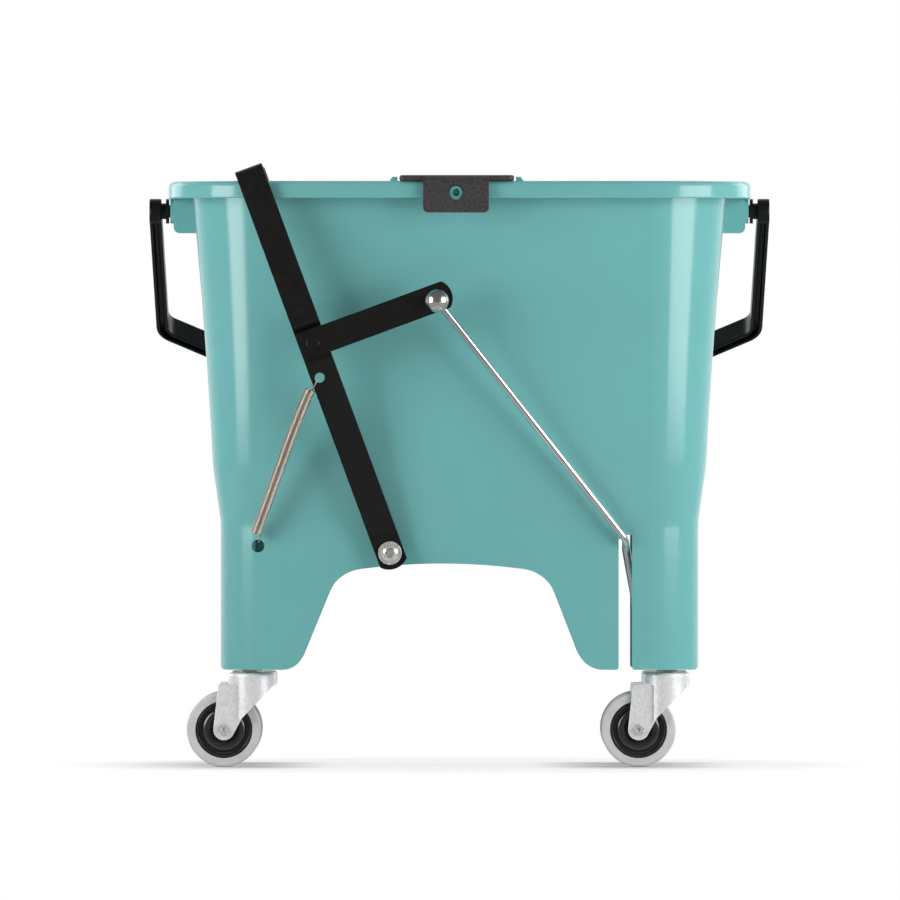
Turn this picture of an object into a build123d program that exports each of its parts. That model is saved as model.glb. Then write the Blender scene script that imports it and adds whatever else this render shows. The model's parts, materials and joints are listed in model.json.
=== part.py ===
from build123d import *
import os
from math import asin, ceil, cos, pi, radians, sin, sqrt

# Wheeled mop bucket with a foot-operated press wringer, in millimetres.
# X runs along the bucket, the working side is at -Y and Z is up.
# The origin is on the floor, below the middle of the tub.
# The linkage is the same on both long sides, so the back pieces are mirrored.

os.makedirs("parts", exist_ok=True)

# Tub: offsets are measured outwards from the upright face of the skirt
skirt_half_length = 167.5
skirt_half_width = 103.5
skirt_corner = 34.0
wall = 3.0
leg_bottom = 68.0
step_bottom = 172.0
step_top = 211.0
step_out = 5.5
bulge_height = 300.0
bulge_out = 11.0
wall_top_out = 20.5
rim_out = 36.5
rim_top = 410.0
rim_bottom = 398.0
floor_top = 171.0
floor_edge = 16.0
soft_bend = 60.0

# Openings of the skirt, seen from the working side as (x, z)
arch_left_foot = (-113.7, leg_bottom)
arch_left_shoulder = (-85.8, 136.0)
arch_crown = (-10.0, 142.4)
arch_right_shoulder = (61.4, 136.0)
arch_right_foot = (87.7, leg_bottom)
arch_shoulder_radius = 28.0
arch_left_foot_radius = 15.0
arch_right_foot_radius = 19.0
slot_left = 111.4
slot_right = 120.8
slot_top = 162.5
slot_radius = 2.0
foot_round = 3.5
foot_play = 0.05
end_arch_half_foot = 62.0
end_arch_half_top = 50.0
end_arch_top = 157.0
end_arch_radius = 20.0

# Rim fittings
lug_half_width = 17.0
lug_out = 201.0
lug_bottom = 374.5
lug_boss_out = 203.5
lug_boss_radius = 8.7
stop_height = 2.8
stop_depth = 12.0
stop_out = 130.0
left_stop = (-48.8, -47.1, -43.4)
right_stop = (44.7, 42.8, 39.5)
peg_radius = 4.55
peg_out = 143.0
peg_bore_radius = 3.0
peg_bore = 4.0

# Lever: tilt is from upright, towards -X at rest
pivot_x = -48.65
pivot_z = 149.8
lever_tilt = 20.2
lever_travel = 18.0
strap_width = 20.0
strap_thickness = 4.0
strap_low_out = 110.5
strap_mid_out = 139.5
strap_high_out = 143.5
strap_inner_out = 97.0
strap_low_end = 16.0
strap_mid_start = 143.0
strap_mid_end = 167.5
strap_high_start = 172.0
strap_top = 285.0
strap_inner_end = 46.0
strap_end_edge = 7.2
strap_end_crown = 11.6
pivot_boss_radius = 9.0
pivot_boss_out = 108.2
pivot_hole_radius = 4.2
bush_radius = 5.5
bush_flange_radius = 7.5
bush_flange = 0.8
screw_radius = 4.0
screw_flange_radius = 8.2
screw_flange = 1.2
screw_head_radius = 6.3
screw_head_height = 5.0
screw_socket = 6.4
screw_socket_depth = 3.2
screw_mouth_radius = 3.9
screw_mouth_depth = 1.3
head_edge = 0.7
running_gap = 0.05
fixed_gap = 0.05
turning_gap = 0.3

# Arm, riveted square across the lever
arm_along = 156.2
arm_width = 19.6
pin_reach = 91.9
pin_along = 154.2
rivet_radius = 2.5
rivet_head_radius = 4.7
rivet_head = 1.0
rivet_edge = 0.8

# Pedal rod and tread
rod_radius = 2.4
rod_tip_out = 149.5
rod_bend_out = 136.6
slot_bend = (115.9, 108.0, 159.5)
foot_bend = (127.0, 38.0, 97.0)
rod_bends = (5.0, 8.0, 8.0)
cap_radius = 8.4
cap_height = 7.0
cap_bore_depth = 4.2
tread_half_width = 34.0
tread_behind = 5.0
tread_ahead = 34.0
tread_thickness = 9.0
tread_tilt = 8.0
tread_rib = 1.5
tread_rib_count = 6

# Return springs
spring_hole_across = -3.7
spring_hole_along = 132.0
spring_hole_radius = 3.5
skirt_hole = (-141.05, 154.7)
skirt_hole_radius = 4.5
wire = 1.3
coil_radius = 3.1
coil_turns = 48
upper_hook = (-99.2, 142.2, 270.7)
lower_hook = (-140.6, 107.5, 157.2)
coil_top = (-106.6, 140.6, 263.4)
coil_bottom = (-143.0, 109.4, 163.6)
hook_bend = 2.6
upper_hook_end = 131.0
lower_hook_end = 96.5

# Hanger brackets
bracket_x = -2.4
bracket_plate_x = -1.9
bracket_plate_length = 80.2
bracket_tab_width = 46.2
bracket_edge = 0.6
bracket_plate_edge = 1.6
bracket_thickness = 4.0
bracket_outer = 142.4
bracket_inner = 97.0
bracket_tab_bottom = 387.8
bracket_inner_bottom = 335.0
bracket_hole_z = 401.8
bracket_hole_radius = 5.0
bracket_bend = 5.0

# Jaws
jaw_half_width = 94.9
jaw_plate = 4.0
jaw_flange = 3.0
jaw_hole_radius = 5.5
moving_jaw_face = 10.65
moving_jaw_back = -16.0
moving_jaw_low = 38.0
moving_flange_low = 46.0
moving_jaw_high = 235.0
moving_screw_along = (95.0, 200.0)
fixed_jaw_face = -10.0
fixed_flange_end = 16.0
fixed_jaw_low = 176.0
fixed_jaw_high = 396.0
fixed_screw_x = 5.0
fixed_screw_z = (352.0, 380.0)
grid_left = -80.0
grid_half_width = 90.0
grid_foot_radius = 6.0
jaw_screw_radius = 2.5
jaw_screw_head_radius = 4.6
jaw_screw_head = 3.0
jaw_nut_flats = 8.0
jaw_nut = 4.0

# Carry handle, hanging behind the tub
handle_z = 390.0
handle_slant = 54.0
handle_arm_x = 214.0
handle_arm_low = (210.0, 136.5)
handle_grip = (120.0, 201.0)
handle_grip_half = 56.0
handle_width = 8.5
handle_depth = 16.0
handle_flange = 2.4
handle_web = 5.0
handle_bends = (16.0, 40.0)
handle_edge = 0.9
axle_radius = 4.5
axle_end = 190.0
axle_flange_in = 204.3
axle_flange_out = 206.6
axle_neck_radius = 5.6

# Casters: the fork trails towards -X
caster_x = 145.25
caster_y = 81.25
boss_radius = 10.0
rib_top = 140.0
stem_radius = 5.0
stem_top = 103.0
stem_bottom = 56.5
stem_head_top = 58.3
stem_head_radius = 7.0
collar_radius = 7.65
collar_bottom = 66.4
race_top = 60.3
race_radius = 10.0
ball_radius = 1.5
ball_ring = 7.6
ball_z = 62.0
ball_count = 12
fork_top = 66.1
fork_plate = 2.5
fork_head_radius = 16.6
fork_head_bottom = 57.0
cheek_in = 10.3
cheek = 2.0
cheek_end_radius = 7.4
cheek_edge = 0.5
cheek_corners = ((-23.8, 57.5), (-7.5, 58.5), (-7.0, 34.1))
web_corners = ((-9.0, 64.0), (20.0, 64.0), (20.0, 57.0), (14.8, 57.0), (-9.0, 32.0))
fork_dome = 2.8
trail = 19.8
wheel_radius = 26.0
tyre_inner = 20.0
tyre_half_width = 9.0
tyre_round = 1.5
pin_radius = 3.0
pin_half_length = 14.0
pin_head_radius = 4.2
pin_dish = 2.0
hub_outline = (
    (6.0, 9.7),
    (7.2, 6.6),
    (9.0, 7.2),
    (12.4, 8.8),
    (15.0, 7.2),
    (15.6, 4.4),
    (17.4, 4.4),
    (17.9, 8.2),
    (18.9, 8.2),
    (19.2, 7.2),
)
hub_bends = ((12.4, 8.8, 4.0), (15.0, 7.2, 1.2), (17.9, 8.2, 0.4), (18.9, 8.2, 0.4))


def save(piece, name):
    """Label a finished piece and write it under its own name."""
    piece.part.label = name
    export_step(piece.part, f"parts/{name}.step")


def save_pair(piece, name):
    """Write a working-side piece and its mirrored twin on the back."""
    with BuildPart() as twin:
        mirror(piece.part, about=Plane.XZ)
    save(piece, f"{name}_front")
    save(twin, f"{name}_back")


def side_plane(out, tilt=None):
    """Plane facing the working side: plain (x, z), or turned about the pivot."""
    if tilt is None:
        return Plane(origin=(0, -out, 0), x_dir=(1, 0, 0), z_dir=(0, -1, 0))
    turn = radians(tilt)
    return Plane(origin=(pivot_x, -out, pivot_z), x_dir=(cos(turn), 0, sin(turn)), z_dir=(0, -1, 0))


def strap_end(width):
    """Bowed end of a flat bar, reaching along +X from its last hole."""
    half = width / 2
    with BuildSketch() as end:
        with BuildLine():
            Polyline((strap_end_edge, half), (0, half), (0, -half), (strap_end_edge, -half))
            ThreePointArc((strap_end_edge, -half), (strap_end_crown, 0), (strap_end_edge, half))
        make_face()
    return end.sketch


def dome_middle(radius, low, high):
    """Halfway point of a dome over a circle of this radius, from its edge to its top."""
    rise = high - low
    ball = (radius * radius + rise * rise) / (2 * rise)
    half = asin(radius / ball) / 2
    return ball * sin(half), high - ball * (1 - cos(half))


def wall_plane(x, y, turn):
    """Upright plane at a corner centre, with its x axis pointing outwards."""
    angle = radians(turn)
    return Plane(origin=(x, y, 0), x_dir=(cos(angle), sin(angle), 0), z_dir=(sin(angle), -cos(angle), 0))


def wall_section():
    """Section through wall, rim and floor edge, x outwards from a corner centre."""
    outer = skirt_corner
    inner = skirt_corner - wall
    top = skirt_corner + wall_top_out
    lip = skirt_corner + rim_out
    flange = rim_top - wall
    floor_under = floor_top - wall
    blank_bottom = leg_bottom - wall
    with BuildSketch() as section:
        with BuildLine():
            Polyline(
                (inner, blank_bottom),
                (outer, blank_bottom),
                (outer, step_bottom),
                (outer + step_out, step_top),
            )
            ThreePointArc((outer + step_out, step_top), (outer + bulge_out, bulge_height), (top, flange))
            Polyline(
                (top, flange),
                (lip - wall, flange),
                (lip - wall, rim_bottom),
                (lip, rim_bottom),
                (lip, rim_top),
                (top - wall, rim_top),
            )
            ThreePointArc((top - wall, rim_top), (inner + bulge_out, bulge_height), (inner + step_out, step_top))
            Polyline(
                (inner + step_out, step_top),
                (inner, floor_top),
                (floor_edge, floor_top),
                (floor_edge, floor_under),
                (inner, floor_under),
                (inner, blank_bottom),
            )
        make_face()
        rounded = [
            (outer, step_bottom, soft_bend),
            (outer + step_out, step_top, soft_bend),
            (inner + step_out, step_top, soft_bend),
            (inner, floor_top, 10.0),
            (lip, rim_top, 4.0),
            (lip, rim_bottom, 1.2),
            (lip - wall, flange, 1.2),
            (top - wall, rim_top, 2.0),
            (top, flange, 3.0),
        ]
        for x, z, radius in rounded:
            fillet(section.vertices().sort_by_distance((x, z, 0))[0], radius)
    return section.sketch


# Tub: one section carried round the four corners and along the four sides
centre_x = skirt_half_length - skirt_corner
centre_y = skirt_half_width - skirt_corner
corner_centres = [
    (centre_x, centre_y),
    (-centre_x, centre_y),
    (-centre_x, -centre_y),
    (centre_x, -centre_y),
]
caster_places = [(x * caster_x, y * caster_y) for y in (-1, 1) for x in (-1, 1)]
wall_face = wall_section()
reach = 2 * skirt_half_length

with BuildPart() as tub:
    for index, (x, y) in enumerate(corner_centres):
        turn = 90 * index
        run = 2 * (centre_y if index % 2 else centre_x)
        with BuildSketch(wall_plane(x, y, turn)):
            add(wall_face)
        revolve(axis=Axis((x, y, 0), (0, 0, 1)), revolution_arc=90)
        with BuildSketch(wall_plane(x, y, turn + 90)):
            add(wall_face)
        extrude(amount=-run)
    # Tank floor
    with BuildSketch(Plane.XY.offset(floor_top - wall)):
        RectangleRounded(2 * (centre_x + floor_edge), 2 * (centre_y + floor_edge), floor_edge)
    extrude(amount=wall)
    # Caster bosses, and the ribs that tie them to the legs
    with BuildSketch(Plane.XY.offset(leg_bottom - wall)):
        with Locations(*caster_places):
            Circle(boss_radius)
    extrude(amount=floor_top - leg_bottom)
    for x, y in caster_places:
        end_x = centre_x + sqrt((skirt_corner - wall / 2) ** 2 - (caster_y - centre_y) ** 2)
        side_y = centre_y + sqrt((skirt_corner - wall / 2) ** 2 - (caster_x - centre_x) ** 2)
        rib_x = (end_x + caster_x) / 2
        rib_y = (side_y + caster_y) / 2
        with BuildSketch(Plane.XY.offset(leg_bottom - wall)):
            with Locations((rib_x * (1 if x > 0 else -1), y)):
                Rectangle(end_x - caster_x, wall)
            with Locations((x, rib_y * (1 if y > 0 else -1))):
                Rectangle(wall, side_y - caster_y)
        extrude(amount=rib_top - leg_bottom)
    # End lugs for the handle, with a round boss and a blind bore
    for side in (-1, 1):
        with BuildSketch(Plane.XZ) as lug:
            with BuildLine():
                Polyline(
                    (side * (skirt_half_length + 16.5), lug_bottom),
                    (side * lug_out, lug_bottom),
                    (side * lug_out, rim_top - wall / 2),
                    (side * (skirt_half_length + 19.3), rim_top - wall / 2),
                    close=True,
                )
            make_face()
            fillet(lug.vertices().sort_by_distance((side * lug_out, lug_bottom, 0))[0], 4.0)
        extrude(amount=lug_half_width, both=True)
        axle_plane = Plane(origin=(side * axle_end, 0, handle_z), z_dir=(side, 0, 0))
        with BuildSketch(axle_plane):
            Circle(lug_boss_radius)
        extrude(amount=lug_boss_out - axle_end)
        with BuildSketch(axle_plane):
            Circle(axle_radius + running_gap)
        extrude(amount=lug_boss_out - axle_end, mode=Mode.SUBTRACT)
    for side in (-1, 1):
        # Ramped stops beside the hanger bracket and the peg that holds it
        stop_plane = Plane(origin=(0, side * stop_out + stop_depth / 2, rim_top), x_dir=(1, 0, 0), z_dir=(0, -1, 0))
        for ramp_foot, ramp_head, stop_face in (left_stop, right_stop):
            with BuildSketch(stop_plane):
                with BuildLine():
                    Polyline(
                        (ramp_foot, 0),
                        (ramp_head, stop_height),
                        (stop_face, stop_height),
                        (stop_face, -wall / 2),
                        (ramp_foot, -wall / 2),
                        close=True,
                    )
                make_face()
            extrude(amount=stop_depth)
        rim_half_width = skirt_half_width + rim_out
        with BuildSketch(Plane(origin=(bracket_x, side * (rim_half_width - 1), bracket_hole_z), z_dir=(0, side, 0))):
            Circle(peg_radius)
        extrude(amount=peg_out - rim_half_width + 1)
        with BuildSketch(Plane(origin=(bracket_x, side * peg_out, bracket_hole_z), z_dir=(0, -side, 0))):
            Circle(peg_bore_radius)
        extrude(amount=peg_bore, taper=12, mode=Mode.SUBTRACT)
        # Boss that the lever turns against
        pivot_plane = Plane(origin=(pivot_x, side * (skirt_half_width - 1), pivot_z), z_dir=(0, side, 0))
        with BuildSketch(pivot_plane):
            Circle(pivot_boss_radius)
        extrude(amount=pivot_boss_out - skirt_half_width + 1)
    # Arch, slot and trimmed legs, the same in both long sides
    with BuildSketch(Plane.XZ) as side_openings:
        below = leg_bottom - 2 * wall
        foot_out = skirt_half_length + foot_play
        with BuildLine():
            Polyline(
                arch_left_shoulder,
                arch_left_foot,
                (-foot_out, leg_bottom),
                (-foot_out, leg_bottom + 2 * foot_round),
                (-reach, leg_bottom + 2 * foot_round),
                (-reach, below),
                (reach, below),
                (reach, leg_bottom + 2 * foot_round),
                (foot_out, leg_bottom + 2 * foot_round),
                (foot_out, leg_bottom),
                (slot_right, leg_bottom),
                (slot_right, slot_top),
                (slot_left, slot_top),
                (slot_left, leg_bottom),
                arch_right_foot,
                arch_right_shoulder,
            )
            ThreePointArc(arch_right_shoulder, arch_crown, arch_left_shoulder)
        make_face()
        rounded = [
            (arch_left_shoulder, arch_shoulder_radius),
            (arch_right_shoulder, arch_shoulder_radius),
            (arch_left_foot, arch_left_foot_radius),
            (arch_right_foot, arch_right_foot_radius),
            ((-foot_out, leg_bottom), foot_round),
            ((foot_out, leg_bottom), foot_round),
            ((slot_right, leg_bottom), slot_radius),
            ((slot_left, leg_bottom), slot_radius),
        ]
        for (x, z), radius in rounded:
            fillet(side_openings.vertices().sort_by_distance((x, z, 0))[0], radius)
    extrude(amount=reach, both=True, mode=Mode.SUBTRACT)
    # Arch in both ends, where the foot goes in
    with BuildSketch(Plane.YZ) as end_openings:
        with BuildLine():
            Polyline(
                (-end_arch_half_foot, leg_bottom - wall),
                (end_arch_half_foot, leg_bottom - wall),
                (end_arch_half_top, end_arch_top),
                (-end_arch_half_top, end_arch_top),
                close=True,
            )
        make_face()
        fillet(end_openings.vertices().group_by(Axis.Y)[-1], end_arch_radius)
    extrude(amount=reach, both=True, mode=Mode.SUBTRACT)
    # Holes for pivot screws, springs and caster stems
    with BuildSketch(Plane.XZ):
        with Locations((pivot_x, pivot_z)):
            Circle(pivot_hole_radius)
    extrude(amount=reach, both=True, mode=Mode.SUBTRACT)
    for side in (-1, 1):
        hole_middle = side * (skirt_half_width - wall / 2)
        with BuildSketch(Plane(origin=(skirt_hole[0], hole_middle, skirt_hole[1]), z_dir=(0, side, 0))):
            Circle(skirt_hole_radius)
        extrude(amount=wall, both=True, mode=Mode.SUBTRACT)
    with BuildSketch(Plane.XY.offset(leg_bottom)):
        with Locations(*caster_places):
            Circle(stem_radius + 2 * fixed_gap)
    extrude(amount=stem_top - leg_bottom + 1, mode=Mode.SUBTRACT)
save(tub, "tub")

# Lever: one strap, over the rim and down inside as a carrier for the jaw
tilt = radians(lever_tilt)
strap_plane = Plane(origin=(pivot_x, 0, pivot_z), x_dir=(0, -1, 0), z_dir=(-cos(tilt), 0, -sin(tilt)))
hub_face = strap_low_out - strap_thickness / 2
with BuildPart() as lever:
    with BuildLine(strap_plane) as strap_route:
        FilletPolyline(
            (strap_low_out, 0),
            (strap_low_out, strap_low_end),
            (strap_mid_out, strap_mid_start),
            (strap_mid_out, strap_mid_end),
            (strap_high_out, strap_high_start),
            (strap_high_out, strap_top),
            (strap_inner_out, strap_top),
            (strap_inner_out, strap_inner_end),
            radius=(30.0, 12.0, 2.4, 2.4, 5.0, 5.0),
        )
    with BuildSketch(
        Plane(origin=strap_route.line @ 0, x_dir=(cos(tilt), 0, sin(tilt)), z_dir=strap_route.line % 0)
    ):
        Rectangle(strap_width, strap_thickness)
    sweep()
    with BuildSketch(side_plane(hub_face, lever_tilt)):
        add(strap_end(strap_width).rotate(Axis.Z, -90))
    extrude(amount=strap_thickness)
    with BuildSketch(side_plane(hub_face, lever_tilt)):
        Circle(bush_radius + fixed_gap)
    extrude(amount=strap_thickness, mode=Mode.SUBTRACT)
    with BuildSketch(side_plane(strap_mid_out - 4 * strap_thickness, lever_tilt)):
        with Locations((0, arm_along)):
            Circle(rivet_radius + fixed_gap)
        with Locations((spring_hole_across, spring_hole_along)):
            Circle(spring_hole_radius)
    extrude(amount=8 * strap_thickness, mode=Mode.SUBTRACT)
    with BuildSketch(side_plane(strap_inner_out - strap_thickness, lever_tilt)):
        with Locations(*[(0, along) for along in moving_screw_along]):
            Circle(jaw_screw_radius + fixed_gap)
    extrude(amount=2 * strap_thickness, mode=Mode.SUBTRACT)
save_pair(lever, "lever")

# Arm, flush in the joggle of the lever
arm_back = strap_mid_out + strap_thickness / 2
with BuildPart() as arm:
    with BuildSketch(side_plane(arm_back, lever_tilt)):
        with Locations(((pin_reach - strap_width / 2) / 2, arm_along)):
            Rectangle(pin_reach + strap_width / 2, arm_width)
        with Locations((pin_reach, arm_along)):
            add(strap_end(arm_width))
        with Locations((0, arm_along)):
            Circle(rivet_radius + fixed_gap, mode=Mode.SUBTRACT)
        with Locations((pin_reach, pin_along)):
            Circle(rod_radius + 2 * fixed_gap, mode=Mode.SUBTRACT)
    extrude(amount=strap_thickness)
save_pair(arm, "arm")

# Rivets of the arms
with BuildPart() as arm_rivets:
    with BuildSketch(side_plane(arm_back - strap_thickness, lever_tilt)):
        with Locations((0, arm_along)):
            Circle(rivet_radius)
    extrude(amount=2 * strap_thickness)
    for start, amount in ((arm_back - strap_thickness, -rivet_head), (arm_back + strap_thickness, rivet_head)):
        with BuildSketch(side_plane(start, lever_tilt)):
            with Locations((0, arm_along)):
                Circle(rivet_head_radius)
        extrude(amount=amount)
    rivet_ends = arm_rivets.edges().group_by(Axis.Y)
    fillet(rivet_ends[0] + rivet_ends[-1], rivet_edge)
    mirror(about=Plane.XZ)
save(arm_rivets, "arm_rivets")

# Bushes that the levers turn on
bush_out = hub_face + strap_thickness
with BuildPart() as pivot_bushes:
    with BuildSketch(side_plane(hub_face, lever_tilt)):
        Circle(bush_radius)
    extrude(amount=strap_thickness)
    with BuildSketch(side_plane(bush_out, lever_tilt)):
        Circle(bush_flange_radius)
    extrude(amount=bush_flange)
    with BuildSketch(side_plane(hub_face, lever_tilt)):
        Circle(screw_radius + running_gap)
    extrude(amount=strap_thickness + bush_flange, mode=Mode.SUBTRACT)
    mirror(about=Plane.XZ)
save(pivot_bushes, "pivot_bushes")

# Pivot screws with domed socket heads, and their nuts inside the skirt
screw_head_out = bush_out + bush_flange + turning_gap
skirt_inner = skirt_half_width - wall
pivot_nut_height = 6.5
pivot_nut_flats = 13.0
screw_end = skirt_inner - pivot_nut_height - 1
screw_axis = Axis((pivot_x, 0, pivot_z), (0, 1, 0))
with BuildPart() as pivot_screws:
    with BuildSketch(Plane(origin=(pivot_x, 0, pivot_z), x_dir=(1, 0, 0), z_dir=(0, 0, -1))):
        flange_end = screw_head_out + screw_flange
        dome_start = flange_end + head_edge
        dome_end = screw_head_out + screw_head_height
        with BuildLine():
            Polyline(
                (0, dome_end),
                (0, screw_end),
                (screw_radius, screw_end),
                (screw_radius, screw_head_out),
                (screw_flange_radius, screw_head_out),
                (screw_flange_radius, flange_end - head_edge),
                (screw_flange_radius - head_edge, flange_end),
                (screw_head_radius, flange_end),
                (screw_head_radius, dome_start),
            )
            ThreePointArc(
                (screw_head_radius, dome_start),
                dome_middle(screw_head_radius, dome_start, dome_end),
                (0, dome_end),
            )
        make_face()
    revolve(axis=screw_axis)
    with BuildSketch(side_plane(dome_end - screw_socket_depth)):
        with Locations((pivot_x, pivot_z)):
            RegularPolygon(screw_socket / 2, 6, major_radius=False)
    extrude(amount=screw_socket_depth, mode=Mode.SUBTRACT)
    with BuildSketch(side_plane(dome_end)):
        with Locations((pivot_x, pivot_z)):
            Circle(screw_mouth_radius)
    extrude(amount=-screw_mouth_depth, taper=20, mode=Mode.SUBTRACT)
    mirror(about=Plane.XZ)
save(pivot_screws, "pivot_screws")

with BuildPart() as pivot_nuts:
    with BuildSketch(side_plane(skirt_inner - pivot_nut_height)):
        with Locations((pivot_x, pivot_z)):
            RegularPolygon(pivot_nut_flats / 2, 6, major_radius=False)
            Circle(screw_radius + fixed_gap, mode=Mode.SUBTRACT)
    extrude(amount=pivot_nut_height)
    mirror(about=Plane.XZ)
save(pivot_nuts, "pivot_nuts")

# Moving jaw: a perforated plate with side flanges, parallel to the fixed jaw when closed
closed_turn = radians(lever_travel)
jaw_across = Vector(cos(closed_turn), 0, sin(closed_turn))
flange_out = jaw_half_width - jaw_flange
with BuildPart() as moving_jaw:
    jaw_height = moving_jaw_high - moving_jaw_low
    jaw_middle = (moving_jaw_high + moving_jaw_low) / 2
    plate_origin = Vector(pivot_x, 0, pivot_z) + jaw_across * moving_jaw_face
    with BuildSketch(Plane(origin=plate_origin, x_dir=(0, 1, 0), z_dir=jaw_across)):
        with Locations((0, jaw_middle)):
            RectangleRounded(2 * jaw_half_width, jaw_height, 4.0)
            with GridLocations(20.0, 20.0, 8, 9):
                Circle(jaw_hole_radius, mode=Mode.SUBTRACT)
    extrude(amount=jaw_plate)
    for start in (flange_out, -jaw_half_width):
        with BuildSketch(side_plane(start, lever_travel)):
            flange_length = moving_jaw_face - moving_jaw_back + jaw_plate / 2
            with Locations((moving_jaw_back + flange_length / 2, (moving_jaw_high + moving_flange_low) / 2)):
                Rectangle(flange_length, moving_jaw_high - moving_flange_low)
        extrude(amount=jaw_flange)
    with BuildSketch(side_plane(0, lever_tilt)):
        with Locations(*[(0, along) for along in moving_screw_along]):
            Circle(jaw_screw_radius + fixed_gap)
    extrude(amount=2 * jaw_half_width, both=True, mode=Mode.SUBTRACT)
save(moving_jaw, "moving_jaw")

# Fixed jaw: a perforated plate, its side flanges and the drain grid that the mop stands on
with BuildPart() as fixed_jaw:
    fixed_height = fixed_jaw_high - fixed_jaw_low
    with BuildSketch(Plane(origin=(fixed_jaw_face, 0, 0), x_dir=(0, 1, 0), z_dir=(1, 0, 0))):
        with Locations((0, fixed_jaw_low + fixed_height / 2)):
            Rectangle(2 * jaw_half_width, fixed_height)
            with GridLocations(20.0, 20.0, 8, 10):
                Circle(jaw_hole_radius, mode=Mode.SUBTRACT)
    extrude(amount=jaw_plate)
    for start in (flange_out, -jaw_half_width):
        with BuildSketch(side_plane(start)):
            flange_length = fixed_flange_end - fixed_jaw_face
            with Locations((fixed_jaw_face + flange_length / 2, fixed_jaw_low + fixed_height / 2)):
                Rectangle(flange_length, fixed_height)
        extrude(amount=jaw_flange)
    with BuildSketch(Plane.XY.offset(fixed_jaw_low)):
        grid_length = fixed_jaw_face - grid_left
        with Locations(((fixed_jaw_face + grid_left) / 2, 0)):
            Rectangle(grid_length, 2 * grid_half_width)
            with GridLocations(18.0, 20.0, 3, 8):
                Circle(jaw_hole_radius, mode=Mode.SUBTRACT)
        with Locations((fixed_jaw_face + jaw_plate / 2, 0)):
            Rectangle(jaw_plate, 2 * grid_half_width)
    extrude(amount=jaw_plate)
    foot_x = grid_left + 2 * grid_foot_radius
    foot_y = grid_half_width - 2 * grid_foot_radius
    with BuildSketch(Plane.XY.offset(floor_top)):
        with Locations((foot_x, -foot_y), (foot_x, foot_y)):
            Circle(grid_foot_radius)
    extrude(amount=fixed_jaw_low - floor_top + jaw_plate)
    with BuildSketch(Plane.XZ):
        with Locations(*[(fixed_screw_x, z) for z in fixed_screw_z]):
            Circle(jaw_screw_radius + fixed_gap)
    extrude(amount=2 * jaw_half_width, both=True, mode=Mode.SUBTRACT)
save(fixed_jaw, "fixed_jaw")


def jaw_screws(places, plane_at, name):
    """Screws through flange and carrier on both sides, heads towards the mop."""
    head_start = flange_out - jaw_screw_head
    nut_start = strap_inner_out + strap_thickness / 2
    with BuildPart() as screws:
        with BuildSketch(plane_at(head_start)):
            with Locations(*places):
                Circle(jaw_screw_head_radius)
        extrude(amount=jaw_screw_head)
        with BuildSketch(plane_at(flange_out)):
            with Locations(*places):
                Circle(jaw_screw_radius)
        extrude(amount=nut_start + jaw_nut + 0.5 - flange_out)
        mirror(about=Plane.XZ)
    save(screws, f"{name}_screws")
    with BuildPart() as nuts:
        with BuildSketch(plane_at(nut_start)):
            with Locations(*places):
                RegularPolygon(jaw_nut_flats / 2, 6, major_radius=False)
                Circle(jaw_screw_radius + fixed_gap, mode=Mode.SUBTRACT)
        extrude(amount=jaw_nut)
        mirror(about=Plane.XZ)
    save(nuts, f"{name}_nuts")


jaw_screws([(0, along) for along in moving_screw_along], lambda out: side_plane(out, lever_tilt), "moving_jaw")
jaw_screws([(fixed_screw_x, z) for z in fixed_screw_z], side_plane, "fixed_jaw")

# Hanger brackets: hooked over the rim, with an inner tab for the fixed jaw
plate_middle = rim_top + bracket_thickness / 2
plate_in = bracket_inner + 2 * bracket_thickness
plate_out = bracket_outer - bracket_thickness / 2
with BuildPart() as bracket_plate:
    with BuildSketch(Plane.XY.offset(rim_top)):
        with Locations((bracket_plate_x, -(plate_in + plate_out) / 2)):
            RectangleRounded(bracket_plate_length, plate_out - plate_in, 4.0)
    extrude(amount=bracket_thickness)
    plate_edges = bracket_plate.edges().group_by(Axis.Z)
    fillet(plate_edges[0] + plate_edges[-1], bracket_plate_edge)
with BuildPart() as bracket:
    hook_plane = Plane(origin=(bracket_x, 0, 0), x_dir=(0, -1, 0), z_dir=(-1, 0, 0))
    with BuildLine(hook_plane) as hook_route:
        FilletPolyline(
            (bracket_outer, bracket_tab_bottom),
            (bracket_outer, plate_middle),
            (bracket_inner, plate_middle),
            (bracket_inner, bracket_inner_bottom),
            radius=bracket_bend,
        )
    with BuildSketch(Plane(origin=hook_route.line @ 0, x_dir=(1, 0, 0), z_dir=hook_route.line % 0)):
        Rectangle(bracket_tab_width, bracket_thickness)
    sweep()
    fillet(bracket.edges().filter_by(Axis.Y).group_by(Axis.Z)[0], 5.0)
    fillet(bracket.edges().filter_by(Axis.Y).sort_by(lambda edge: abs(edge.center().Z - bracket_tab_bottom))[:2], 3.5)
    fillet(bracket.edges().filter_by(lambda edge: abs(edge.length - bracket_thickness) > 0.01), bracket_edge)
    add(bracket_plate.part)
    with BuildSketch(side_plane(bracket_outer - bracket_thickness)):
        with Locations((bracket_x, bracket_hole_z)):
            Circle(bracket_hole_radius)
    extrude(amount=2 * bracket_thickness, mode=Mode.SUBTRACT)
    with BuildSketch(side_plane(bracket_inner - bracket_thickness)):
        with Locations(*[(fixed_screw_x, z) for z in fixed_screw_z]):
            Circle(jaw_screw_radius + fixed_gap)
    extrude(amount=2 * bracket_thickness, mode=Mode.SUBTRACT)
save_pair(bracket, "hanger_bracket")

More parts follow.
